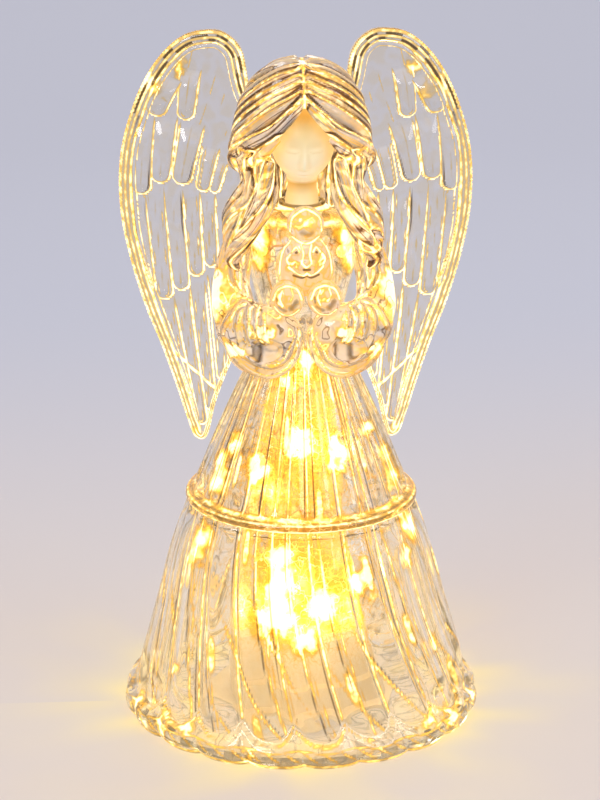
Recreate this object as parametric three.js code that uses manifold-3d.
// A light-up angel moulded in clear acrylic: a fluted bell skirt, a dress with bell sleeves, flowing hair,
// two feathered wings, a cream face, and a string of small warm lights fed by three cells in the base.
// Millimetres. Z is up, the table is z = 0, the axis of the skirt is the Z axis and the face looks along -Y.
import * as THREE from "three";
import { mergeVertices } from "three/addons/utils/BufferGeometryUtils.js";
import Module from "manifold-3d";

const wasm = await Module();
wasm.setup();

// Fits shared by all pieces
const clearance = 0.3; // between two pieces that seat on each other
const overrun = 3; // how far a cutting shape runs past the piece it cuts
const weldDistance = 0.001; // vertices nearer than this are one

// Skirt: the lower moulding, from the table to the joint under the bead
const skirtHeight = 80.5;
const hemRadius = 66.5;
const mouldingWall = 1.6; // left behind the bottom of a flute, and all over the bodice
const fluteCount = 20;
const fluteSteps = 3;
const fluteDepth = 2;
const scallopHeight = 6; // of the U in which each panel ends above the lip
const hemTwistDegrees = 16;
const twistPower = 1.6;
const coreSides = 30;
const hemRimWidth = 6.1; // from the hem's outermost edge in to the rebate for the base plate

// Collar inside the top of the skirt, with the spigot that enters the dress
const collarWall = 1.5;
const collarHeight = 3;
const collarReach = 1.7;
const spigotHeight = 2.7;
const spigotSetback = 4.1; // in from the outside of the dress at its foot
const jointSetback = 0.4; // how far the skirt's top edge lies inside the dress's foot

// Dress: the upper moulding, from the joint to the neck
const dressHeight = 112.2;
const dressRadius = 41;
const beadRadius = 1.5;
const bodiceSides = 24;
const neckRimWall = 1.6;
const neckRimHeight = 1.6;
const neckBoreDepth = 6;

// Head insert: face and neck in one cream moulding
const headHalfWidth = 11.3;
const headHalfDepth = 11.5;
const headHalfHeight = 14.5;
const headCentreY = -9;
const headRise = 21.5; // centre of the head above the neck rim
const neckRadius = 6.3;
const neckY = -4;
const neckSeat = 0.5; // left under the neck in its bore
const neckSides = 16;
const lampBoreRadius = 3.6;
const lampBoreSetback = 2.6; // in front of the neck's axis
const lampBoreDrop = 0.5; // top of the bore below the head's centre
const noseRadius = 1.3;
const noseReach = 1.4;
const noseHeight = 3;
const noseSeat = 0.5;
const noseDrop = 2.6;

// Hair: a hollow cap, a fall over the back, and wavy locks over the shoulders
const hairHalfWidth = 24.8;
const hairHalfDepth = 22;
const hairRise = 28.7; // top of the hair above the head's centre
const capHeight = 49.2;
const hairLength = 78;
const hairWall = 2.6;
const hairCentreY = -3;
const hairMouthDrop = 10; // how far the hollow runs on below the cap
const capSides = 24;
const hollowSides = 18;
const capSink = 1.3; // how far the cap between its strands lies inside their outline
const combedRadius = 2.6;
const combedSink = 2.3; // how far the middle of a combed strand lies inside that outline
const combedSides = 5;
const combedSteps = 6;
const strandCount = 12; // rounded strands round the fall over the back
const strandSteps = 3;
const strandDepth = 0.55;
const fallHalfWidth = 21.5;
const fallHalfDepth = 17;
const fallLength = 72.2;
const fallFrontY = 1;
const lockRadius = 5.4;
const lockSides = 7;
const lockSteps = 7;
const fringeDrop = 13.4; // point of the fringe below the top of the hair
const faceOpeningHalfWidth = 11.4;
const faceOpeningHeight = 51.8;

// Sleeves and hands
const shoulderRadius = 6.4;
const armSides = 10;
const armSteps = 6;
const cuffHalfWidth = 14.8;
const cuffHalfDepth = 9;
const cuffHalfHeight = 14;
const cuffCentreX = 14.2;
const cuffCentreY = -21;
const cuffDrop = 47; // centre of the cuff below the neck rim
const armRise = 35.8;
const cuffFoldDepth = 0.9;
const cuffFoldCount = 9;
const handHalfWidth = 6;
const handHalfDepth = 6;
const handHalfHeight = 6.6;
const handCentreX = 6.5;
const handCentreY = -27;
const handRise = 17.5; // above the centre of the cuff
const fingerCount = 4;
const fingerGroove = 0.7;

// Small bear held in the hands
const bearHeadRadius = 5.8;
const bearHeadRise = 14.5; // above the centre of its body
const bearHeadY = -24;
const bearEarRadius = 2;
const bearMuzzleRadius = 2.5;
const bearBodyHalfWidth = 9.2;
const bearBodyHalfDepth = 7.8;
const bearBodyHalfHeight = 12;
const bearBodyY = -22.5;
const bearBodyRise = 11; // above the centre of the hands
const bearArmRadius = 2.9;

// Wings and the bracket that carries them
const wingHeight = 153.6;
const wingWidth = 56;
const wingDrop = 98; // tip of the wing below the neck rim
const wingRootX = 9;
const wingStandoff = 1.5; // middle of the wing behind the bracket
const wingSweepDegrees = 8;
const wingThickness = 1.6;
const rimRadius = 2.5;
const rimSides = 6;
const rimSteps = 20;
const featherLayer = 0.8;
const featherSink = 0.2; // how deep a feather is rooted in the plate
const tabWidth = 8;
const tabHeight = 11;
const tabReach = 6.5;
const tabCentreX = 10;
const bracketWidth = 32;
const bracketHeight = 17;
const bracketDrop = 44; // foot of the bracket below the neck rim
const bracketBackY = 20;
const bracketFrontY = 9;

// Base plate, pushed up into the hem
const basePlateThickness = 2.2;
const basePlateZ = 0.8;
const ledgeHeight = 3.7;
const ledgeReach = 1.8;

// Battery housing: a foot through the base plate, a flange on it, and a narrower drum above
const housingWall = 1.5;
const housingRoof = 2;
const flangeReach = 7;
const flangeThickness = 2;
const drumWall = 1.2;
const drumHead = 11.2; // drum above the upper cell's bay
const drumEdge = 1.5;
const drumSides = 36;
const baseScrewCount = 3;

// Cells: three of size AAA, two below and one nested above
const cellRadius = 5.25;
const cellLength = 44.5;
const cellNubRadius = 1.9;
const cellNubHeight = 0.8;
const cellSpacing = 0.5;
const contactRoom = 2.45; // at each end of the cells
const cellSides = 14;
const contactThickness = 0.5;
const contactSpring = 1.35;
const contactSpringRadius = 2.2;

// Battery door, its hinge pin and its captive screw
const doorThickness = 1.6;
const doorLap = 1; // how far the door reaches past the bay all round
const doorTabWidth = 9;
const doorTabRim = 0.8;
const doorTabFloor = 1.1; // door left above the sunk screw head
const doorEdgeGap = 0.7; // lets the rear edge swing clear of the recess
const hingeSetback = 1.85;
const hingeRadius = 1.3;
const hingePinRadius = 0.6;
const hingePinLength = 40;
const hingeBoreGap = 0.15;
const knuckleLength = 8;
const knuckleCentreX = 14;
const doorScrewSetback = 3.25;
const doorScrewGrip = 1.5;

// Screws
const screwHeadRadius = 2.3;
const screwHeadHeight = 1;
const screwShankRadius = 1;
const screwSlotWidth = 0.7;
const screwSlotDepth = 0.6;
const screwSides = 10;
const baseScrewGrip = 2.6;

// Slide switch on the base plate
const switchWidth = 13;
const switchDepth = 6.4;
const switchHeight = 5;
const knobWidth = 3.2;
const knobDepth = 2.8;
const knobTravel = 4;
const knobRecess = 0.5;
const sliderWidth = 5.2;
const sliderDepth = 3.8;
const sliderHeight = 1.4;

// Circuit board on the drum, and the crackled light column round the lights
const boardWidth = 22;
const boardDepth = 16;
const boardThickness = 1.6;
const columnSetback = 2.5; // foot of the column inside the drum
const columnTopGap = 19.7; // top of the column below the waist
const columnTopRadius = 12.6;
const columnWall = 1;
const columnSides = 28;
const leadNotchHeight = 2.6;

// Lights and wires
const lampRadius = 1.8;
const lampHeight = 4.4;
const lampSides = 6;
const wireRadius = 0.45;
const wireSides = 4;
const wireSteps = 72;
const leadRadius = 0.7;
const leadSides = 5;
const leadSteps = 18;

// Outlines as shares. Skirt rows: share of the height, share of the way out from the joint to the hem, share of
// the flute depth, and share of the scallop's height by which the row climbs in the valleys.
const skirtShares = [
  [0, 0.88, 0.4, 0],
  [0.043, 0.965, 0.4, 0.2],
  [0.083, 0.868, 1.05, 0.97],
  [0.116, 0.734, 1.05, 1],
  [0.29, 0.61, 1, 0],
  [0.522, 0.409, 1, 0],
  [0.77, 0.219, 0.9, 0],
  [1, 0, 0.6, 0],
];

// Dress rows: share of the height, half-width and half-depth as shares of the radius at the joint, share of
// the neck's place in front of the axis, share of the flute depth.
const dressShares = [
  [0, 0.985, 0.985, 0, 0.6],
  [0.109, 0.863, 0.863, 0, 0.6],
  [0.212, 0.749, 0.749, 0, 0.6],
  [0.355, 0.58, 0.58, 0, 0.5],
  [0.492, 0.415, 0.405, 0, 0.35],
  [0.554, 0.366, 0.332, 0, 0.2],
  [0.617, 0.361, 0.307, 0, 0],
  [0.706, 0.415, 0.322, 0, 0],
  [0.795, 0.478, 0.332, 0.12, 0],
  [0.866, 0.507, 0.307, 0.12, 0],
  [0.92, 0.451, 0.268, 0.38, 0],
  [0.96, 0.317, 0.239, 0.75, 0],
];

// Bead rows, from its foot round its outside to the flutes: share of its radius out and up.
const beadShares = [
  [0, 0],
  [0.85, 0.3],
  [1.25, 1],
  [0.85, 1.7],
  [-0.5, 2.1],
];

// Hair cap rows: share of the cap's height above its hem, share of the half-width, share of the half-depth.
const capShares = [
  [0, 0.85, 0.8],
  [0.12, 0.905, 0.91],
  [0.26, 0.99, 1],
  [0.43, 1, 1],
  [0.61, 0.92, 0.93],
  [0.77, 0.77, 0.79],
  [0.895, 0.56, 0.59],
  [0.965, 0.34, 0.36],
  [1, 0.1, 0.1],
];

// Hair fall rows: share of its height above its hem, share of its half-width.
const fallShares = [
  [0, 0.86],
  [0.12, 0.93],
  [0.5, 0.97],
  [1, 1],
];

// Face opening, from its foot up to the point: share of the half-width, share of the height.
const faceOpeningShares = [
  [0.8, 0],
  [0.8, 0.434],
  [0.96, 0.579],
  [1, 0.726],
  [0.9, 0.809],
  [0.55, 0.88],
  [0.25, 0.946],
  [0, 1],
];
const chinTaperShare = 0.3; // how much of the width and depth the chin loses
const throatShare = 0.94; // thickness of the throat above the collar, of the neck's radius

// Strands combed from the parting down each side of the cap, from the fringe to the back of the head: how far a
// point is turned from straight ahead, of a half turn, and its rise above the head's centre, of the hair's rise.
const combedShares = [
  [
    [0.01, 0.57],
    [0.067, 0.43],
    [0.156, 0.22],
    [0.289, 0.06],
    [0.456, -0.1],
  ],
  [
    [0.015, 0.66],
    [0.078, 0.57],
    [0.178, 0.43],
    [0.294, 0.24],
    [0.422, 0.04],
    [0.544, -0.16],
  ],
  [
    [0.02, 0.75],
    [0.111, 0.66],
    [0.222, 0.54],
    [0.333, 0.36],
    [0.444, 0.17],
    [0.567, -0.02],
  ],
  [
    [0.025, 0.82],
    [0.133, 0.74],
    [0.267, 0.59],
    [0.378, 0.41],
    [0.489, 0.22],
    [0.611, 0],
  ],
  [
    [0.033, 0.88],
    [0.189, 0.8],
    [0.322, 0.65],
    [0.433, 0.46],
    [0.544, 0.26],
    [0.661, 0.04],
  ],
  [
    [0.056, 0.935],
    [0.25, 0.87],
    [0.389, 0.71],
    [0.5, 0.52],
    [0.611, 0.3],
    [0.717, 0.05],
  ],
  [
    [0.167, 0.985],
    [0.417, 0.935],
    [0.511, 0.79],
    [0.6, 0.6],
    [0.694, 0.35],
    [0.789, 0.08],
  ],
  [
    [0.917, 0.97],
    [0.7, 0.87],
    [0.694, 0.7],
    [0.744, 0.48],
    [0.806, 0.27],
    [0.867, 0.05],
  ],
  [
    [0.978, 0.9],
    [0.878, 0.77],
    [0.85, 0.6],
    [0.878, 0.4],
    [0.933, 0.08],
  ],
];
const combedThicknessShares = [0.6, 0.9, 1, 1, 0.75];

// Locks: x and y of each point as shares of the hair's half-width and half-depth, its place below the top as a
// share of the hair's length, and the thickness there as a share of the lock radius.
const lockShares = [
  [
    [0.52, -0.72, 0.43, 0.8],
    [0.55, -0.73, 0.543, 0.95],
    [0.6, -0.76, 0.655, 1],
    [0.78, -0.76, 0.779, 0.95],
    [1, -0.66, 0.898, 0.7],
    [1.1, -0.5, 0.998, 0.4],
  ],
  [
    [0.82, -0.42, 0.399, 0.85],
    [0.84, -0.48, 0.524, 1],
    [0.76, -0.56, 0.636, 1],
    [0.9, -0.5, 0.758, 0.9],
    [1.08, -0.4, 0.867, 0.6],
    [1.06, -0.34, 0.967, 0.35],
  ],
  [
    [0.88, -0.02, 0.437, 0.8],
    [0.9, -0.1, 0.549, 0.95],
    [0.93, -0.14, 0.667, 0.95],
    [1.02, -0.12, 0.792, 0.8],
    [1, -0.06, 0.92, 0.45],
  ],
];

// Arms: x and y as shares of the cuff centre's distance, share of the arm's rise above the cuff's centre, and
// the thickness as a share of the shoulder radius.
const armShares = [
  [1.25, 0.0, 1, 0.9],
  [1.6, 0.2, 0.816, 1],
  [1.78, 0.5, 0.551, 1],
  [1.76, 0.82, 0.285, 1.15],
  [1.4, 1.0, 0.082, 1.2],
];

// Wing outline: share of the width out from the root, share of the height up from the tip.
const wingShares = [
  [0.443, 0.004],
  [0.379, 0.095],
  [0.259, 0.209],
  [0.086, 0.336],
  [0, 0.425],
  [0, 0.539],
  [0.052, 0.679],
  [0.103, 0.793],
  [0.153, 0.874],
  [0.197, 0.954],
  [0.305, 0.994],
  [0.428, 1],
  [0.583, 0.984],
  [0.738, 0.931],
  [0.866, 0.851],
  [0.964, 0.746],
  [1, 0.652],
  [0.988, 0.545],
  [0.929, 0.437],
  [0.84, 0.328],
  [0.736, 0.23],
  [0.645, 0.132],
  [0.571, 0.045],
  [0.521, 0],
];
const rimRadiusShares = [0.6, 0.9, 1, 1, 1, 0.95, 0.85, 0.7, 0.55];
const rimStartShare = 0.25; // where the rolled rim starts along the outline, from the tip round by the root

// Feathers: layers in front of the plate, then root and tip (out, up) and width as shares of the wing.
const featherShares = [
  [1, 0.81, 0.361, 0.578, 0.063, 0.086],
  [1, 0.707, 0.349, 0.526, 0.025, 0.086],
  [1, 0.603, 0.361, 0.474, 0.031, 0.086],
  [1, 0.5, 0.393, 0.414, 0.069, 0.086],
  [1, 0.379, 0.412, 0.328, 0.145, 0.086],
  [2, 0.897, 0.596, 0.819, 0.361, 0.112],
  [2, 0.776, 0.622, 0.707, 0.346, 0.112],
  [2, 0.655, 0.615, 0.595, 0.37, 0.112],
  [2, 0.534, 0.615, 0.5, 0.406, 0.103],
  [2, 0.431, 0.609, 0.397, 0.429, 0.095],
  [3, 0.834, 0.797, 0.852, 0.605, 0.121],
  [3, 0.688, 0.799, 0.733, 0.633, 0.129],
  [3, 0.514, 0.78, 0.597, 0.63, 0.129],
  [3, 0.395, 0.723, 0.459, 0.615, 0.095],
  [3, 0.331, 0.689, 0.386, 0.612, 0.078],
  [4, 0.66, 0.891, 0.769, 0.797, 0.138],
  [4, 0.524, 0.909, 0.56, 0.787, 0.112],
];
const lampSeatShare = 1.6; // depth of the head's light below the top of its bore, of its height
const featherRootShare = 0.5; // width of a feather's root as a share of its full width

// Lights in the column: x and y as shares of its foot radius, z as a share of its height.
const columnLampShares = [
  [0.02, -0.76, 0.045],
  [0.33, -0.68, 0.087],
  [0.72, -0.28, 0.178],
  [-0.15, -0.72, 0.196],
  [-0.57, -0.56, 0.082],
  [-0.46, -0.36, 0.533],
  [0.46, -0.24, 0.677],
  [0.04, -0.46, 0.727],
  [-0.02, -0.14, 0.967],
];

// Lights in the bodice: x and y as shares of the dress radius, z as a share of the dress height.
const bodiceLampShares = [
  [-0.34, -0.117, 0.843],
  [0.34, -0.117, 0.834],
];

// Half the outline of a light, from below: share of its radius, share of half its height.
const lampOutlineShares = [
  [0, -1],
  [0.7, -0.8],
  [1, -0.2],
  [0.85, 0.5],
  [0.4, 0.95],
  [0, 1],
];

// Places on the bear, as shares of its head radius or of its body's half-sizes.
const earOutShare = 0.8;
const earUpShare = 0.55;
const armOutShare = 0.72;
const armForwardShare = 0.7;
const armUpShare = 0.25;

// Heights that follow from the sizes above
const dressFootZ = skirtHeight + clearance;
const dressTopZ = dressFootZ + dressHeight;
const waistShare = dressShares.find((row) => row[4] <= dressShares.at(-1)[4])[0];
const neckBoreZ = dressTopZ - neckBoreDepth;
const neckBaseZ = neckBoreZ + neckSeat;
const lampBoreY = neckY - lampBoreSetback;
const headCentreZ = dressTopZ + headRise;
const lampBoreTop = headCentreZ - lampBoreDrop;
const hairTop = headCentreZ + hairRise;
const hairHemZ = hairTop - capHeight;
const hairMouthZ = hairHemZ - hairMouthDrop;
const fallHemZ = hairTop - fallLength;
const faceOpeningTop = hairTop - fringeDrop;
const faceOpeningFoot = faceOpeningTop - faceOpeningHeight;
const cuffCentreZ = dressTopZ - cuffDrop;
const handCentreZ = cuffCentreZ + handRise;
const bearBodyZ = handCentreZ + bearBodyRise;
const bearHeadZ = bearBodyZ + bearHeadRise;
const wingTipZ = dressTopZ - wingDrop;
const bracketBottomZ = dressTopZ - bracketDrop;
const wingPlaneY = bracketBackY + wingStandoff;
const spigotRadius = dressRadius - spigotSetback;
const rebateRadius = hemRadius - hemRimWidth;
const ledgeRadius = rebateRadius - ledgeReach;
const basePlateRadius = rebateRadius - clearance;

// The cells, two on the door and the third nested between them, and their bay
const doorTopZ = basePlateZ + doorThickness;
const cellPitch = 2 * cellRadius + cellSpacing;
const lowCellZ = doorTopZ + clearance + cellRadius;
const highCellZ = lowCellZ + Math.sqrt((2 * cellRadius + clearance) ** 2 - (cellPitch / 2) ** 2);
const bayLength = cellLength + 2 * contactRoom;
const lowBayHalf = cellPitch / 2 + cellRadius + clearance;
const highBayHalf = cellRadius + clearance;
const lowBayTopZ = lowCellZ + cellRadius + clearance;
const highBayTopZ = highCellZ + cellRadius + clearance;

// The door under the bay, and the housing round both
const doorLength = bayLength + 2 * doorLap;
const doorFrontY = -lowBayHalf - doorLap;
const doorBackY = lowBayHalf + doorLap;
const doorScrewY = doorFrontY - doorScrewSetback;
const doorTabFrontY = doorScrewY - screwHeadRadius - doorTabRim;
const doorTabTopZ = basePlateZ + screwHeadHeight + clearance + doorTabFloor;
const hingeY = doorBackY + hingeSetback;
const hingeZ = basePlateZ + hingeRadius;
const footRadius = Math.hypot(doorLength / 2 + clearance, doorFrontY - clearance) + housingWall;
const footTopZ = lowBayTopZ + housingRoof;
const flangeRadius = footRadius + flangeReach;
const baseScrewCircle = footRadius + flangeReach / 2;
const drumRadius = Math.hypot(bayLength / 2, highBayHalf) + drumWall;
const drumTopZ = highBayTopZ + drumHead;
const switchY = (flangeRadius + ledgeRadius) / 2;
const switchFootZ = basePlateZ + basePlateThickness + clearance;
const boardZ = drumTopZ + clearance;
const columnFootRadius = drumRadius - columnSetback;
const columnHeight = dressFootZ + dressHeight * waistShare - columnTopGap - boardZ;

// Materials
const clearAcrylic = new THREE.MeshStandardMaterial({
  color: "#f3ead2",
  roughness: 0.05,
  metalness: 0,
  transparent: true,
  opacity: 0.45,
});
const creamPlastic = new THREE.MeshStandardMaterial({ color: "#f2dfae", roughness: 0.55, metalness: 0 });
const housingPlastic = new THREE.MeshStandardMaterial({ color: "#e9e4d6", roughness: 0.5, metalness: 0 });
const lampResin = new THREE.MeshStandardMaterial({ color: "#ffd873", roughness: 0.2, metalness: 0 });
const copper = new THREE.MeshStandardMaterial({ color: "#b87333", roughness: 0.35, metalness: 1 });
const steel = new THREE.MeshStandardMaterial({ color: "#c3c5c8", roughness: 0.3, metalness: 1 });
const cellSleeve = new THREE.MeshStandardMaterial({ color: "#5c6a72", roughness: 0.4, metalness: 0.1 });
const boardLaminate = new THREE.MeshStandardMaterial({ color: "#2f6b3f", roughness: 0.6, metalness: 0 });
const leadSleeve = new THREE.MeshStandardMaterial({ color: "#d9d4c8", roughness: 0.6, metalness: 0 });
const switchPlastic = new THREE.MeshStandardMaterial({ color: "#2b2b2d", roughness: 0.5, metalness: 0 });

const fullTurn = 2 * Math.PI;
const radians = THREE.MathUtils.degToRad;

// Turns a closed geometry into a solid that can be joined and cut.
function solidOf(geometry) {
  const loose = geometry.index ? geometry.toNonIndexed() : geometry.clone();
  loose.deleteAttribute("normal");
  loose.deleteAttribute("uv");
  const welded = mergeVertices(loose, weldDistance);
  return new wasm.Manifold(
    new wasm.Mesh({
      numProp: 3,
      vertProperties: welded.attributes.position.array,
      triVerts: new Uint32Array(welded.index.array),
    }),
  );
}

// Turns a solid back into a geometry.
function geometryOf(solid) {
  const { vertProperties, triVerts } = solid.getMesh();
  const geometry = new THREE.BufferGeometry();
  geometry.setAttribute("position", new THREE.BufferAttribute(vertProperties, 3));
  geometry.setIndex(new THREE.BufferAttribute(triVerts, 1));
  return geometry;
}

function joined(solids) {
  return solids.reduce((whole, piece) => whole.add(piece));
}

// A ring of points, anticlockwise round the way that a loft climbs.
function ring(sides, pointAt) {
  return Array.from({ length: sides }, (_, i) => pointAt((fullTurn * i) / sides));
}

// A closed skin over rings of equal counts, with a fan over each end.
function loft(rings) {
  const sides = rings[0].length;
  const middle = (points) =>
    points.reduce((sum, p) => sum.add(p), new THREE.Vector3()).divideScalar(points.length);
  const points = [...rings.flat(), middle(rings[0]), middle(rings.at(-1))];
  const foot = points.length - 2;
  const top = points.length - 1;
  const faces = [];
  for (let j = 0; j < sides; j++) {
    const next = (j + 1) % sides;
    const last = (rings.length - 1) * sides;
    faces.push(foot, next, j);
    faces.push(top, last + j, last + next);
    for (let i = 0; i + 1 < rings.length; i++) {
      const low = i * sides;
      const high = low + sides;
      faces.push(low + j, low + next, high + next);
      faces.push(low + j, high + next, high + j);
    }
  }
  const geometry = new THREE.BufferGeometry().setFromPoints(points);
  geometry.setIndex(faces);
  return geometry;
}

// A revolved shape round the Z axis. The outline is [radius, height] points, rising on the outside.
function revolved(outline, sides) {
  const points = outline.map(([radius, height]) => new THREE.Vector2(radius, height));
  return new THREE.LatheGeometry(points, sides).rotateX(Math.PI / 2);
}

// An upright cylinder between two heights.
function cylinder(radius, bottom, top, sides) {
  const height = top - bottom;
  const upright = new THREE.CylinderGeometry(radius, radius, height, sides).rotateX(Math.PI / 2);
  return upright.translate(0, 0, bottom + height / 2);
}

// A box between two corners.
function boxBetween(low, high) {
  const size = high.map((value, i) => value - low[i]);
  const centre = high.map((value, i) => (value + low[i]) / 2);
  return new THREE.BoxGeometry(...size).translate(...centre);
}

// A round-sectioned tube along a curve through points, each with its own radius.
function taperedTube(points, radii, sides, steps) {
  const curve = new THREE.CatmullRomCurve3(points, false, "centripetal");
  const frames = curve.computeFrenetFrames(steps, false);
  const rings = Array.from({ length: steps + 1 }, (_, i) => {
    const place = curve.getUtoTmapping(i / steps) * (radii.length - 1);
    const low = Math.min(Math.floor(place), radii.length - 2);
    const radius = THREE.MathUtils.lerp(radii[low], radii[low + 1], place - low);
    const centre = curve.getPointAt(i / steps);
    return ring(sides, (angle) =>
      centre
        .clone()
        .addScaledVector(frames.normals[i], radius * Math.cos(angle))
        .addScaledVector(frames.binormals[i], radius * Math.sin(angle)),
    );
  });
  return loft(rings);
}

// A ball stretched to three half-sizes, whose unit points may first be reshaped.
function ball(halfSizes, centre, columns, rows, reshape = (p) => p) {
  const geometry = new THREE.SphereGeometry(1, columns, rows).rotateX(Math.PI / 2);
  const position = geometry.attributes.position;
  for (let i = 0; i < position.count; i++) {
    const point = reshape(new THREE.Vector3().fromBufferAttribute(position, i));
    point.multiply(halfSizes).add(centre);
    position.setXYZ(i, point.x, point.y, point.z);
  }
  return geometry;
}

// Rounded ridges with pinched valleys between them, from -1 to 1.
function fluteWave(angle) {
  return 2 * Math.abs(Math.sin((fluteCount * angle) / 2)) - 1;
}

// The skirt's mean radius at a share of the way out from the joint to the hem.
function skirtRadius(outShare) {
  return THREE.MathUtils.lerp(dressRadius - jointSetback, hemRadius, outShare);
}

// One ring of the skirt: its flutes lean round as they near the hem, and it may climb in their valleys.
function skirtRing([heightShare, outShare, fluteShare, scallopShare]) {
  const twist = radians(hemTwistDegrees) * (1 - heightShare) ** twistPower;
  return ring(fluteCount * fluteSteps, (angle) => {
    const valley = (1 - fluteWave(angle)) / 2;
    const radius = skirtRadius(outShare) + fluteDepth * fluteShare * fluteWave(angle);
    return new THREE.Vector3(
      radius * Math.cos(angle + twist),
      radius * Math.sin(angle + twist),
      skirtHeight * heightShare + scallopHeight * scallopShare * valley,
    );
  });
}

// The round core of the skirt: a rebate for the base plate, a ledge above it, then a wall under the flutes.
function skirtCore() {
  const ledgeZ = basePlateZ + basePlateThickness + clearance;
  const inner = skirtShares
    .filter(([heightShare]) => skirtHeight * heightShare > ledgeZ + ledgeHeight)
    .map(([heightShare, outShare, fluteShare]) => [
      skirtRadius(outShare) - fluteDepth * fluteShare - mouldingWall,
      skirtHeight * heightShare,
    ])
    .map(([radius, height]) => [Math.min(radius, ledgeRadius), height]);
  const outline = [
    [0, -overrun],
    [rebateRadius, -overrun],
    [rebateRadius, ledgeZ],
    [ledgeRadius, ledgeZ],
    [ledgeRadius, ledgeZ + ledgeHeight],
    ...inner,
    [inner.at(-1)[0], skirtHeight + overrun],
    [0, skirtHeight + overrun],
  ];
  return solidOf(revolved(outline, coreSides));
}

// The collar inside the top of the skirt, which carries the spigot.
function skirtCollar() {
  const inside = spigotRadius - collarWall;
  const outline = [
    [inside, skirtHeight - collarHeight],
    [spigotRadius + collarReach, skirtHeight - collarHeight],
    [spigotRadius + collarReach, skirtHeight],
    [spigotRadius, skirtHeight],
    [spigotRadius, skirtHeight + spigotHeight],
    [inside, skirtHeight + spigotHeight],
    [inside, skirtHeight - collarHeight],
  ];
  return solidOf(revolved(outline, coreSides));
}

function skirtShell() {
  const outside = solidOf(loft(skirtShares.map(skirtRing)));
  return outside.subtract(skirtCore()).add(skirtCollar());
}

// The rows of the dress in real sizes, with a round neck rim on top that takes the head insert.
function dressRows() {
  const rows = dressShares.map(([heightShare, widthShare, depthShare, leanShare, fluteShare]) => ({
    z: dressFootZ + dressHeight * heightShare,
    halfWidth: dressRadius * widthShare,
    halfDepth: dressRadius * depthShare,
    y: neckY * leanShare,
    flute: fluteDepth * fluteShare,
  }));
  const rim = neckRadius + clearance + neckRimWall;
  const neckRim = { halfWidth: rim, halfDepth: rim, y: neckY, flute: 0 };
  return [...rows, { ...neckRim, z: dressTopZ - neckRimHeight }, { ...neckRim, z: dressTopZ }];
}

// One ring of the dress, moved outwards by an amount that may be negative, with or without its flutes.
function dressRing(row, sides, grow, flutes = 0) {
  return ring(sides, (angle) => {
    const reach = grow + flutes * row.flute * fluteWave(angle);
    return new THREE.Vector3(
      (row.halfWidth + reach) * Math.cos(angle),
      (row.halfDepth + reach) * Math.sin(angle) + row.y,
      row.z,
    );
  });
}

// The rolled bead at the foot of the dress, as rings below the first fluted one.
function beadRows() {
  return beadShares.map(([outShare, upShare]) => {
    const radius = dressRadius + beadRadius * outShare;
    return { z: dressFootZ + beadRadius * upShare, halfWidth: radius, halfDepth: radius, y: 0, flute: 0 };
  });
}

// The outside of the dress as a full solid, grown by a gap for the pieces that are fitted round it:
// the fluted skirt up to the waist, and the smooth bodice above it.
function dressBody(grow = 0) {
  const rows = dressRows();
  const waist = rows.findIndex((row) => row.flute === 0);
  const below = [...beadRows(), ...rows.slice(1, waist + 1)];
  const bodice = rows.slice(waist).map((row) => dressRing(row, bodiceSides, grow));
  const tuck = rows[waist - 1];
  bodice.unshift(dressRing({ ...rows[waist], z: tuck.z }, bodiceSides, grow - mouldingWall / 2));
  bodice.at(-1).forEach((point) => (point.z += grow));
  const skirt = below.map((row) => dressRing(row, fluteCount * fluteSteps, grow, 1));
  return solidOf(loft(skirt)).add(solidOf(loft(bodice)));
}

// The hollow of the dress: an even wall behind the flutes, a rebate for the spigot and a bore for the neck.
function dressCore() {
  const hollow = dressRows().filter((row) => row.z < neckBoreZ);
  const foot = { ...hollow[0], z: dressFootZ - overrun };
  const rings = [foot, ...hollow].map((row) => dressRing(row, coreSides, -row.flute - mouldingWall));
  const rebateTop = skirtHeight + spigotHeight + clearance;
  const rebate = cylinder(spigotRadius + clearance, dressFootZ - overrun, rebateTop, coreSides);
  const bore = cylinder(neckRadius + clearance, hollow.at(-1).z - overrun, dressTopZ + overrun, neckSides);
  return joined([solidOf(loft(rings)), solidOf(rebate), solidOf(bore.translate(0, neckY, 0))]);
}

function dressShell() {
  return dressBody().subtract(dressCore());
}

// Face and neck. The cheeks narrow towards the chin, and a bore from below takes one light.
function headSolid(grow = 0) {
  const halfSizes = new THREE.Vector3(headHalfWidth + grow, headHalfDepth + grow, headHalfHeight + grow);
  const centre = new THREE.Vector3(0, headCentreY, headCentreZ);
  const skull = ball(halfSizes, centre, 16, 12, (p) => {
    const down = Math.max(0, -p.z);
    p.x *= 1 - chinTaperShare * down ** 2;
    p.y *= 1 - chinTaperShare * down ** 2;
    return p;
  });
  const throat = taperedTube(
    [new THREE.Vector3(0, neckY, dressTopZ), new THREE.Vector3(0, headCentreY, headCentreZ)],
    [neckRadius * throatShare + grow, neckRadius * throatShare + grow],
    neckSides,
    1,
  );
  const neck = cylinder(neckRadius + grow, neckBaseZ, dressTopZ + neckRimHeight, neckSides);
  return joined([skull, throat, neck.translate(0, neckY, 0)].map(solidOf));
}

function headInsert() {
  const nose = ball(
    new THREE.Vector3(noseRadius, noseReach, noseHeight),
    new THREE.Vector3(0, headCentreY - headHalfDepth + noseSeat, headCentreZ - noseDrop),
    8,
    6,
  );
  const bore = cylinder(lampBoreRadius, neckBaseZ - overrun, lampBoreTop, 10).translate(0, lampBoreY, 0);
  return headSolid().add(solidOf(nose)).subtract(solidOf(bore));
}

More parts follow.
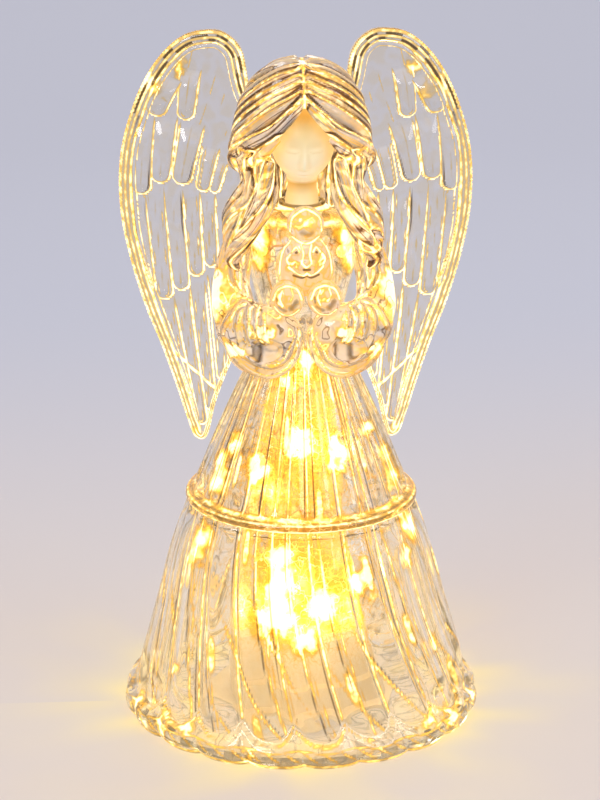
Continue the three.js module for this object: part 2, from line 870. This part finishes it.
// One ring of the hair cap, moved in by the wall for the hollow.
function capRing([heightShare, widthShare, depthShare], inset, sides) {
  return ring(sides, (angle) =>
    new THREE.Vector3(
      (hairHalfWidth * widthShare - inset) * Math.cos(angle),
      (hairHalfDepth * depthShare - inset) * Math.sin(angle) + hairCentreY,
      hairHemZ + (hairTop - inset - hairHemZ) * heightShare,
    ),
  );
}

function hairCap() {
  return solidOf(loft(capShares.map((row) => capRing(row, capSink, capSides))));
}

// A place where the middle of a combed strand runs, from its turn and rise.
function alongCap(turnShare, riseShare) {
  const turn = Math.PI * turnShare;
  const reach = Math.sqrt(1 - Math.max(riseShare, 0) ** 2);
  return new THREE.Vector3(
    (hairHalfWidth - combedSink) * reach * Math.sin(turn),
    hairCentreY - (hairHalfDepth - combedSink) * reach * Math.cos(turn),
    headCentreZ + (hairRise - combedSink) * riseShare,
  );
}

// The main strands of one side, half sunk in the cap.
function combedStrands(side) {
  const radii = combedThicknessShares.map((share) => combedRadius * share);
  return combedShares.map((rows) => {
    const points = rows.map(([turnShare, riseShare]) => alongCap(side * turnShare, riseShare));
    return solidOf(taperedTube(points, radii, combedSides, combedSteps));
  });
}

// The hollow of the hair, open below round the neck.
function hairHollow() {
  const rows = capShares.filter(([, widthShare]) => hairHalfWidth * widthShare > hairWall * 2);
  const rings = rows.map((row) => capRing(row, hairWall, hollowSides));
  const mouth = rings[0].map((point) => point.clone().setZ(hairMouthZ));
  return solidOf(loft([mouth, ...rings]));
}

// The hair that falls over the back, ending in a row of rounded strands.
function hairFall() {
  const rows = fallShares.map(([heightShare, widthShare]) =>
    ring(strandCount * strandSteps, (angle) => {
      const comb = 1 + (strandDepth / fallHalfDepth) * Math.cos(strandCount * angle);
      return new THREE.Vector3(
        fallHalfWidth * widthShare * comb * Math.cos(angle),
        fallHalfDepth * widthShare * comb * Math.sin(angle),
        fallHemZ + (hairHemZ + hairWall - fallHemZ) * heightShare,
      );
    }),
  );
  const front = boxBetween(
    [-hairHalfWidth * 2, -hairHalfDepth * 2, fallHemZ - overrun],
    [hairHalfWidth * 2, fallFrontY, hairTop],
  );
  return solidOf(loft(rows)).subtract(solidOf(front));
}

// Wavy locks over both shoulders. The side is 1 for the angel's left and -1 for its right.
function hairLocks(side) {
  return lockShares.map((rows) => {
    const points = rows.map(
      ([outShare, forwardShare, downShare]) =>
        new THREE.Vector3(
          side * hairHalfWidth * outShare,
          hairHalfDepth * forwardShare,
          hairTop - hairLength * downShare,
        ),
    );
    const radii = rows.map((row) => lockRadius * row[3]);
    return solidOf(taperedTube(points, radii, lockSides, lockSteps));
  });
}

// The opening that frames the face: a pointed arch, straight below the cheeks.
function faceOpening() {
  const half = faceOpeningShares.map(([outShare, upShare]) => [
    faceOpeningHalfWidth * outShare,
    faceOpeningFoot + (faceOpeningTop - faceOpeningFoot) * upShare,
  ]);
  const other = half.slice(0, -1).map(([x, z]) => [-x, z]);
  const outline = [...half, ...other.reverse()].map(([x, z]) => new THREE.Vector2(x, z));
  const depth = hairHalfDepth * 2;
  const arch = new THREE.ExtrudeGeometry(new THREE.Shape(outline), { depth, bevelEnabled: false });
  return solidOf(arch.rotateX(Math.PI / 2).translate(0, headCentreY, 0));
}

function hair() {
  const sides = [1, -1].flatMap((side) => [...combedStrands(side), ...hairLocks(side)]);
  const outside = joined([hairCap(), hairFall(), ...sides]);
  const arms = [1, -1].map((side) => sleeveArm(side, clearance));
  return cutFrom(outside, [hairHollow(), faceOpening(), dressBody(clearance), headSolid(clearance), ...arms]);
}

// The upper arm, from the shoulder to the elbow and on into the cuff.
function sleeveArm(side, grow = 0) {
  const points = armShares.map(
    ([outShare, forwardShare, upShare]) =>
      new THREE.Vector3(
        side * cuffCentreX * outShare,
        cuffCentreY * forwardShare,
        cuffCentreZ + armRise * upShare,
      ),
  );
  const radii = armShares.map((row) => shoulderRadius * row[3] + grow);
  return solidOf(taperedTube(points, radii, armSides, armSteps));
}

// The bell cuff: a full hanging lobe with folds that spread from the wrist.
function cuff(side, grow = 0) {
  const halfSizes = new THREE.Vector3(cuffHalfWidth + grow, cuffHalfDepth + grow, cuffHalfHeight + grow);
  const centre = new THREE.Vector3(side * cuffCentreX, cuffCentreY, cuffCentreZ);
  const fold = cuffFoldDepth / cuffHalfHeight;
  const lobe = ball(halfSizes, centre, cuffFoldCount * 2, 8, (p) => {
    const across = Math.hypot(p.x, p.z);
    const wave = (1 - Math.cos(cuffFoldCount * Math.atan2(p.z, p.x))) / 2;
    return p.multiplyScalar(1 - fold * wave * across);
  });
  return solidOf(lobe);
}

function sleeve(side, grow = 0) {
  const centreGap = boxBetween(
    [-clearance / 2, -cuffHalfWidth * 4, 0],
    [clearance / 2, cuffHalfWidth * 4, dressTopZ],
  );
  const whole = sleeveArm(side, grow).add(cuff(side, grow));
  return grow ? whole : whole.subtract(dressBody(clearance)).subtract(solidOf(centreGap));
}

// A cupped hand, with grooves between its fingers.
function handBody(side, grow = 0) {
  const halfSizes = new THREE.Vector3(handHalfWidth + grow, handHalfDepth + grow, handHalfHeight + grow);
  const centre = new THREE.Vector3(side * handCentreX, handCentreY, handCentreZ);
  const palm = ball(halfSizes, centre, fingerCount * 4, 8, (p) => {
    const front = Math.max(0, -p.y);
    const groove = (1 + Math.cos(fullTurn * (fingerCount / 2) * p.x)) / 2;
    return p.multiplyScalar(1 - (fingerGroove / handHalfDepth) * groove * front);
  });
  return solidOf(palm);
}

function hand(side) {
  return handBody(side).subtract(sleeve(side, clearance));
}

// The small bear: a pear-shaped body, a round head with ears and muzzle, and two arms.
function heldBear() {
  const at = (x, y, z) => new THREE.Vector3(x, y, z);
  const round = (radius, centre, columns, rows) =>
    solidOf(ball(at(radius, radius, radius), centre, columns, rows));
  const body = ball(
    at(bearBodyHalfWidth, bearBodyHalfDepth, bearBodyHalfHeight),
    at(0, bearBodyY, bearBodyZ),
    12,
    9,
  );
  const pair = [1, -1];
  const earX = bearHeadRadius * earOutShare;
  const earZ = bearHeadZ + bearHeadRadius * earUpShare;
  const armZ = bearBodyZ + bearBodyHalfHeight * armUpShare;
  const armY = bearBodyY - bearBodyHalfDepth * armForwardShare;
  const whole = joined([
    solidOf(body),
    round(bearHeadRadius, at(0, bearHeadY, bearHeadZ), 12, 8),
    round(bearMuzzleRadius, at(0, bearHeadY - bearHeadRadius, bearHeadZ - bearMuzzleRadius / 2), 7, 5),
    ...pair.map((side) => round(bearEarRadius, at(side * earX, bearHeadY, earZ), 6, 5)),
    ...pair.map((side) => round(bearArmRadius, at(side * bearBodyHalfWidth * armOutShare, armY, armZ), 7, 5)),
  ]);
  return cutFrom(whole, [
    ...pair.map((side) => handBody(side, clearance)),
    ...pair.map((side) => cuff(side, clearance)),
    dressBody(clearance),
    headSolid(clearance),
  ]);
}

// Where a share of the wing lies, in the upright plane of the angel's left wing.
function wingPoint([outShare, upShare]) {
  return new THREE.Vector2(wingRootX + wingWidth * outShare, wingTipZ + wingHeight * upShare);
}

// A flat outline made a plate that stands upright and grows forwards from a given place.
function uprightPlate(shape, thickness, backY, curveSegments) {
  const plate = new THREE.ExtrudeGeometry(shape, { depth: thickness, bevelEnabled: false, curveSegments });
  return plate.rotateX(Math.PI / 2).translate(0, backY, 0);
}

// The rolled rim that runs up the inner side, over the top and down the leading edge.
function wingRim() {
  const start = Math.round(wingShares.length * rimStartShare);
  const points = wingShares.slice(start).map((share) => {
    const point = wingPoint(share);
    return new THREE.Vector3(point.x, 0, point.y);
  });
  return solidOf(taperedTube(points, rimRadiusShares.map((s) => rimRadius * s), rimSides, rimSteps));
}

// One feather: narrow at its root, with a rounded tip, standing in front of the layers below it.
function feather([layers, rootOut, rootUp, tipOut, tipUp, widthShare]) {
  const root = wingPoint([rootOut, rootUp]);
  const tip = wingPoint([tipOut, tipUp]);
  const half = (wingWidth * widthShare) / 2;
  const length = root.distanceTo(tip);
  const shape = new THREE.Shape();
  shape.moveTo(-half * featherRootShare, 0);
  shape.lineTo(-half, (length - half) / 2);
  shape.absarc(0, length - half, half, Math.PI, 0, true);
  shape.lineTo(half, (length - half) / 2);
  shape.lineTo(half * featherRootShare, 0);
  const plate = uprightPlate(shape, featherLayer * layers, -wingThickness / 2 + featherSink, 2);
  const lean = Math.atan2(tip.x - root.x, tip.y - root.y);
  return solidOf(plate.rotateY(lean).translate(root.x, 0, root.y));
}

// The tab at the wing's root that enters the bracket, grown for the slot.
function wingTab(grow = 0) {
  const halfWidth = tabWidth / 2 + grow;
  const middleZ = bracketBottomZ + bracketHeight / 2;
  const tab = boxBetween(
    [tabCentreX - halfWidth, -tabReach - grow, middleZ - tabHeight / 2 - grow],
    [tabCentreX + halfWidth, 0, middleZ + tabHeight / 2 + grow],
  );
  return solidOf(sweptBack(tab));
}

// Turns a piece of the wing about the angel's middle, so that the wing leans back.
function sweptBack(geometry) {
  return geometry.rotateZ(radians(wingSweepDegrees)).translate(0, wingPlaneY, 0);
}

function wing() {
  const outline = new THREE.Shape(wingShares.map(wingPoint));
  const plate = solidOf(uprightPlate(outline, wingThickness, wingThickness / 2, 1));
  const flat = joined([plate, wingRim(), ...featherShares.map(feather)]);
  const whole = solidOf(sweptBack(geometryOf(flat))).add(wingTab());
  return whole.subtract(dressBody(clearance));
}

// The block on the back of the dress, slotted for the tab of each wing.
function wingBracket() {
  const block = solidOf(
    boxBetween(
      [-bracketWidth / 2, bracketFrontY, bracketBottomZ],
      [bracketWidth / 2, bracketBackY, bracketBottomZ + bracketHeight],
    ),
  );
  const slot = geometryOf(wingTab(clearance));
  const otherSlot = geometryOf(wingTab(clearance).mirror([1, 0, 0]));
  return cutFrom(block, [dressBody(clearance), solidOf(slot), solidOf(otherSlot)]);
}

// Three screw places round the housing's flange.
function baseScrewPlaces() {
  return Array.from({ length: baseScrewCount }, (_, i) => {
    const angle = -Math.PI / 2 + (fullTurn * i) / baseScrewCount;
    return [baseScrewCircle * Math.cos(angle), baseScrewCircle * Math.sin(angle)];
  });
}

function basePlate() {
  const top = basePlateZ + basePlateThickness;
  const plate = solidOf(cylinder(basePlateRadius, basePlateZ, top, coreSides));
  const opening = solidOf(cylinder(footRadius + clearance, basePlateZ - overrun, top + overrun, drumSides));
  const slotHalf = (knobWidth + knobTravel) / 2 + clearance;
  const slot = boxBetween(
    [-slotHalf, switchY - knobDepth / 2 - clearance, basePlateZ - overrun],
    [slotHalf, switchY + knobDepth / 2 + clearance, top + overrun],
  );
  const holes = baseScrewPlaces().map(([x, y]) => screwHole(x, y, top + overrun));
  return cutFrom(plate, [opening, solidOf(slot), ...holes]);
}

// The stepped hole of a screw whose head lies flush with the underside.
function screwHole(x, y, topZ) {
  const headTop = basePlateZ + screwHeadHeight + clearance;
  const seat = cylinder(screwHeadRadius + clearance, basePlateZ - overrun, headTop, screwSides);
  const shank = cylinder(screwShankRadius + clearance, basePlateZ - overrun, topZ, screwSides);
  return solidOf(seat.translate(x, y, 0)).add(solidOf(shank.translate(x, y, 0)));
}

// A slotted screw, its head flush with the underside.
function screw(x, y, topZ) {
  const headTop = basePlateZ + screwHeadHeight;
  const head = solidOf(cylinder(screwHeadRadius, basePlateZ, headTop, screwSides));
  const shank = solidOf(cylinder(screwShankRadius, headTop - screwSlotDepth / 2, topZ, screwSides));
  const slot = boxBetween(
    [-screwHeadRadius * 2, -screwSlotWidth / 2, basePlateZ - overrun],
    [screwHeadRadius * 2, screwSlotWidth / 2, basePlateZ + screwSlotDepth],
  );
  return head.add(shank).subtract(solidOf(slot)).translate([x, y, 0]);
}

// The recess under the housing for the door, its tab, its hinge and its screw.
function doorRecess() {
  const below = basePlateZ - overrun;
  const edge = doorEdgeGap;
  const plate = boxBetween(
    [-doorLength / 2 - clearance, doorFrontY - clearance, below],
    [doorLength / 2 + clearance, doorBackY + edge, doorTopZ + clearance],
  );
  const tab = boxBetween(
    [-doorTabWidth / 2 - clearance, doorTabFrontY - clearance, below],
    [doorTabWidth / 2 + clearance, doorFrontY + overrun, doorTabTopZ + clearance],
  );
  const pockets = [1, -1].map((side) => {
    const reach = hingeRadius + clearance;
    const half = knuckleLength / 2 + clearance;
    return boxBetween(
      [side * knuckleCentreX - half, doorBackY - clearance, below],
      [side * knuckleCentreX + half, hingeY + reach, hingeZ + reach],
    );
  });
  const groove = boxBetween(
    [-hingePinLength / 2 - clearance, hingeY - hingePinRadius - clearance, below],
    [hingePinLength / 2 + clearance, hingeY + hingePinRadius + clearance, hingeZ + hingePinRadius + clearance],
  );
  const screwTop = doorTabTopZ + doorScrewGrip + clearance * 2;
  const screwBore = cylinder(screwShankRadius + clearance * 2, below, screwTop, screwSides);
  const cuts = [plate, tab, ...pockets, groove, screwBore.translate(0, doorScrewY, 0)];
  return joined(cuts.map(solidOf));
}

function cellBay() {
  const low = boxBetween([-bayLength / 2, -lowBayHalf, basePlateZ], [bayLength / 2, lowBayHalf, lowBayTopZ]);
  const high = boxBetween([-bayLength / 2, -highBayHalf, basePlateZ], [bayLength / 2, highBayHalf, highBayTopZ]);
  return solidOf(low).add(solidOf(high));
}

function batteryHousing() {
  const flangeZ = basePlateZ + basePlateThickness + clearance;
  const outline = [
    [0, basePlateZ],
    [footRadius, basePlateZ],
    [footRadius, flangeZ],
    [flangeRadius, flangeZ],
    [flangeRadius, flangeZ + flangeThickness],
    [footRadius, flangeZ + flangeThickness],
    [footRadius, footTopZ],
    [drumRadius, footTopZ],
    [drumRadius, drumTopZ - drumEdge],
    [drumRadius - drumEdge, drumTopZ],
    [0, drumTopZ],
  ];
  const holes = baseScrewPlaces().map(([x, y]) => screwHole(x, y, flangeZ + flangeThickness + overrun));
  return cutFrom(solidOf(revolved(outline, drumSides)), [cellBay(), doorRecess(), ...holes]);
}

// The door: a plate with two hinge knuckles behind and a thicker screw tab in front.
function batteryDoor() {
  const plate = boxBetween([-doorLength / 2, doorFrontY, basePlateZ], [doorLength / 2, doorBackY, doorTopZ]);
  const tab = boxBetween(
    [-doorTabWidth / 2, doorTabFrontY, basePlateZ],
    [doorTabWidth / 2, doorFrontY - clearance, doorTabTopZ],
  );
  const tabRoot = boxBetween(
    [-doorTabWidth / 2, doorTabFrontY, basePlateZ],
    [doorTabWidth / 2, doorFrontY + clearance, doorTopZ],
  );
  const knuckles = [1, -1].flatMap((side) => {
    const barrel = cylinder(hingeRadius, -knuckleLength / 2, knuckleLength / 2, screwSides);
    const low = side * knuckleCentreX - knuckleLength / 2;
    const neck = boxBetween([low, doorBackY - clearance, basePlateZ], [low + knuckleLength, hingeY, doorTopZ]);
    return [barrel.rotateY(Math.PI / 2).translate(side * knuckleCentreX, hingeY, hingeZ), neck];
  });
  const boreRadius = hingePinRadius + hingeBoreGap;
  const bore = cylinder(boreRadius, -doorLength / 2, doorLength / 2, screwSides).rotateY(Math.PI / 2);
  const whole = joined([plate, tab, tabRoot, ...knuckles].map(solidOf));
  const bored = solidOf(bore.translate(0, hingeY, hingeZ));
  return cutFrom(whole, [bored, screwHole(0, doorScrewY, doorTabTopZ + overrun)]);
}

function hingePin() {
  const pin = cylinder(hingePinRadius, -hingePinLength / 2, hingePinLength / 2, screwSides);
  return solidOf(pin.rotateY(Math.PI / 2).translate(0, hingeY, hingeZ));
}

// A cell with its positive nub, lying along X.
function cell(y, z, direction) {
  const bodyEnd = cellLength / 2 - cellNubHeight;
  const outline = [
    [0, -cellLength / 2],
    [cellRadius, -cellLength / 2],
    [cellRadius, bodyEnd],
    [cellNubRadius, bodyEnd],
    [cellNubRadius, cellLength / 2],
    [0, cellLength / 2],
  ];
  return solidOf(revolved(outline, cellSides).rotateY((direction * Math.PI) / 2).translate(0, y, z));
}

// A sprung contact plate across one end of the bay. The side is 1 or -1.
function contactPlate(side) {
  const face = bayLength / 2 - clearance - contactThickness;
  const back = bayLength / 2 - clearance;
  const [near, far] = side > 0 ? [face, back] : [-back, -face];
  const half = cellRadius - clearance;
  const low = boxBetween(
    [near, -cellPitch / 2 - half, lowCellZ - half],
    [far, cellPitch / 2 + half, lowCellZ + half],
  );
  const high = boxBetween([near, -half, lowCellZ], [far, half, highCellZ + half]);
  const springs = [
    [-cellPitch / 2, lowCellZ],
    [cellPitch / 2, lowCellZ],
    [0, highCellZ],
  ].map(([y, z]) => {
    const cone = new THREE.CylinderGeometry(cellNubRadius / 2, contactSpringRadius, contactSpring, 8);
    const reach = face - contactSpring / 2 + contactThickness / 4;
    return cone.rotateZ((side * Math.PI) / 2).translate(side * reach, y, z);
  });
  return joined([low, high, ...springs].map(solidOf));
}

// The switch: a case with a channel below, in which the slider runs.
function switchBody() {
  const body = boxBetween(
    [-switchWidth / 2, switchY - switchDepth / 2, switchFootZ],
    [switchWidth / 2, switchY + switchDepth / 2, switchFootZ + switchHeight],
  );
  const channelHalf = (sliderWidth + knobTravel) / 2 + clearance;
  const channel = boxBetween(
    [-channelHalf, switchY - sliderDepth / 2 - clearance, switchFootZ - overrun],
    [channelHalf, switchY + sliderDepth / 2 + clearance, switchFootZ + sliderHeight + clearance],
  );
  return solidOf(body).subtract(solidOf(channel));
}

// The slider and its knob, at rest at the lit end.
function switchKnob() {
  const centreX = knobTravel / 2;
  const slider = boxBetween(
    [centreX - sliderWidth / 2, switchY - sliderDepth / 2, switchFootZ],
    [centreX + sliderWidth / 2, switchY + sliderDepth / 2, switchFootZ + sliderHeight],
  );
  const knob = boxBetween(
    [centreX - knobWidth / 2, switchY - knobDepth / 2, knobRecess],
    [centreX + knobWidth / 2, switchY + knobDepth / 2, switchFootZ + sliderHeight / 2],
  );
  return solidOf(slider).add(solidOf(knob));
}

function circuitBoard() {
  return solidOf(
    boxBetween(
      [-boardWidth / 2, -boardDepth / 2, boardZ],
      [boardWidth / 2, boardDepth / 2, boardZ + boardThickness],
    ),
  );
}

// The tapered tube round the lights, with a notch at its foot for the switch lead.
function lightColumn() {
  const outline = [
    [columnFootRadius - columnWall, boardZ],
    [columnFootRadius, boardZ],
    [columnTopRadius, boardZ + columnHeight],
    [columnTopRadius - columnWall, boardZ + columnHeight],
    [columnFootRadius - columnWall, boardZ],
  ];
  const notchHalf = leadRadius + clearance;
  const notch = boxBetween(
    [-notchHalf, columnFootRadius - columnWall * 3, boardZ - overrun],
    [notchHalf, columnFootRadius + overrun, boardZ + leadNotchHeight],
  );
  return solidOf(revolved(outline, columnSides)).subtract(solidOf(notch));
}

// The centre of each light: up the column, then the bodice, then the head.
function lampCentres() {
  const inColumn = columnLampShares.map(
    ([outShare, forwardShare, upShare]) =>
      new THREE.Vector3(
        columnFootRadius * outShare,
        columnFootRadius * forwardShare,
        boardZ + columnHeight * upShare,
      ),
  );
  const inBodice = bodiceLampShares.map(
    ([outShare, forwardShare, upShare]) =>
      new THREE.Vector3(
        dressRadius * outShare,
        dressRadius * forwardShare,
        dressFootZ + dressHeight * upShare,
      ),
  );
  const inHead = new THREE.Vector3(0, lampBoreY, lampBoreTop - lampHeight * lampSeatShare);
  return [...inColumn, ...inBodice, inHead];
}

// A light: a drop of clear resin round its chip.
function lamp(centre) {
  const outline = lampOutlineShares.map(([radiusShare, heightShare]) => [
    lampRadius * radiusShare,
    (lampHeight / 2) * heightShare,
  ]);
  return solidOf(revolved(outline, lampSides).translate(centre.x, centre.y, centre.z));
}

// The wire from the board past every light, on the side that is nearer the axis.
function lightWire() {
  const aside = lampRadius + wireRadius + clearance;
  const beside = lampCentres().map((centre) => {
    const inward = new THREE.Vector3(-centre.x, -centre.y, 0).normalize();
    return centre.clone().addScaledVector(inward, aside);
  });
  const start = new THREE.Vector3(0, -boardDepth / 4, boardZ + boardThickness + clearance + wireRadius);
  const neckPoint = new THREE.Vector3(0, lampBoreY, neckBaseZ);
  const points = [start, ...beside.slice(0, -1), neckPoint, beside.at(-1)];
  return solidOf(taperedTube(points, [wireRadius, wireRadius], wireSides, wireSteps));
}

// The lead from the switch, over the flange and up the outside of the housing to the board.
function switchLead() {
  const beside = leadRadius + clearance;
  const flangeTopZ = switchFootZ + flangeThickness;
  const points = [
    [switchY - switchDepth / 2 - clearance, switchFootZ + switchHeight / 2],
    [flangeRadius, flangeTopZ + 2 * beside],
    [footRadius + beside, (flangeTopZ + footTopZ) / 2],
    [footRadius + beside, footTopZ],
    [(footRadius + drumRadius) / 2 + beside, footTopZ + 2 * beside],
    [drumRadius + beside, footTopZ + 4 * beside],
    [drumRadius + beside, drumTopZ - drumEdge],
    [columnFootRadius, boardZ + leadNotchHeight / 2],
    [columnFootRadius - columnWall * 4, boardZ + leadNotchHeight / 2],
    [boardDepth / 2 + clearance, boardZ + boardThickness / 2],
  ].map(([y, z]) => new THREE.Vector3(0, y, z));
  return solidOf(taperedTube(points, [leadRadius, leadRadius], leadSides, leadSteps));
}

// Cuts a list of shapes from a solid and keeps the one body that stays whole.
function cutFrom(solid, cuts) {
  const rest = cuts.reduce((whole, cut) => whole.subtract(cut), solid);
  return rest.decompose().reduce((a, b) => (a.volume() > b.volume() ? a : b));
}

const angel = new THREE.Group();
angel.name = "light_up_angel";

function place(name, solid, material) {
  const mesh = new THREE.Mesh(geometryOf(solid), material);
  mesh.name = name;
  angel.add(mesh);
  return mesh;
}

// A piece and its mirror image. Left is the angel's own left, at +X.
function placePair(name, solid, material) {
  place("left_" + name, solid, material);
  place("right_" + name, solid, material).scale.x = -1;
}

place("skirt_shell", skirtShell(), clearAcrylic);
place("dress_shell", dressShell(), clearAcrylic);
place("head_insert", headInsert(), creamPlastic);
place("hair", hair(), clearAcrylic);
placePair("sleeve", sleeve(1), clearAcrylic);
placePair("hand", hand(1), clearAcrylic);
place("held_bear", heldBear(), clearAcrylic);
placePair("wing", wing(), clearAcrylic);
place("wing_bracket", wingBracket(), clearAcrylic);
place("base_plate", basePlate(), clearAcrylic);
place("battery_housing", batteryHousing(), housingPlastic);
place("battery_door", batteryDoor(), housingPlastic);
place("door_hinge_pin", hingePin(), steel);
place("door_screw", screw(0, doorScrewY, doorTabTopZ + doorScrewGrip), steel);
place("battery_1", cell(-cellPitch / 2, lowCellZ, 1), cellSleeve);
place("battery_2", cell(cellPitch / 2, lowCellZ, -1), cellSleeve);
place("battery_3", cell(0, highCellZ, 1), cellSleeve);
place("left_contact_plate", contactPlate(1), steel);
place("right_contact_plate", contactPlate(-1), steel);
place("switch_body", switchBody(), switchPlastic);
place("switch_knob", switchKnob(), switchPlastic);
place("switch_lead", switchLead(), leadSleeve);
place("circuit_board", circuitBoard(), boardLaminate);
place("light_column", lightColumn(), clearAcrylic);
place("light_wire", lightWire(), copper);
lampCentres().forEach((centre, i) => {
  place("light_" + String(i + 1).padStart(2, "0"), lamp(centre), lampResin);
});
baseScrewPlaces().forEach(([x, y], i) => {
  place("base_screw_" + (i + 1), screw(x, y, basePlateZ + screwHeadHeight + baseScrewGrip), steel);
});

export default angel;
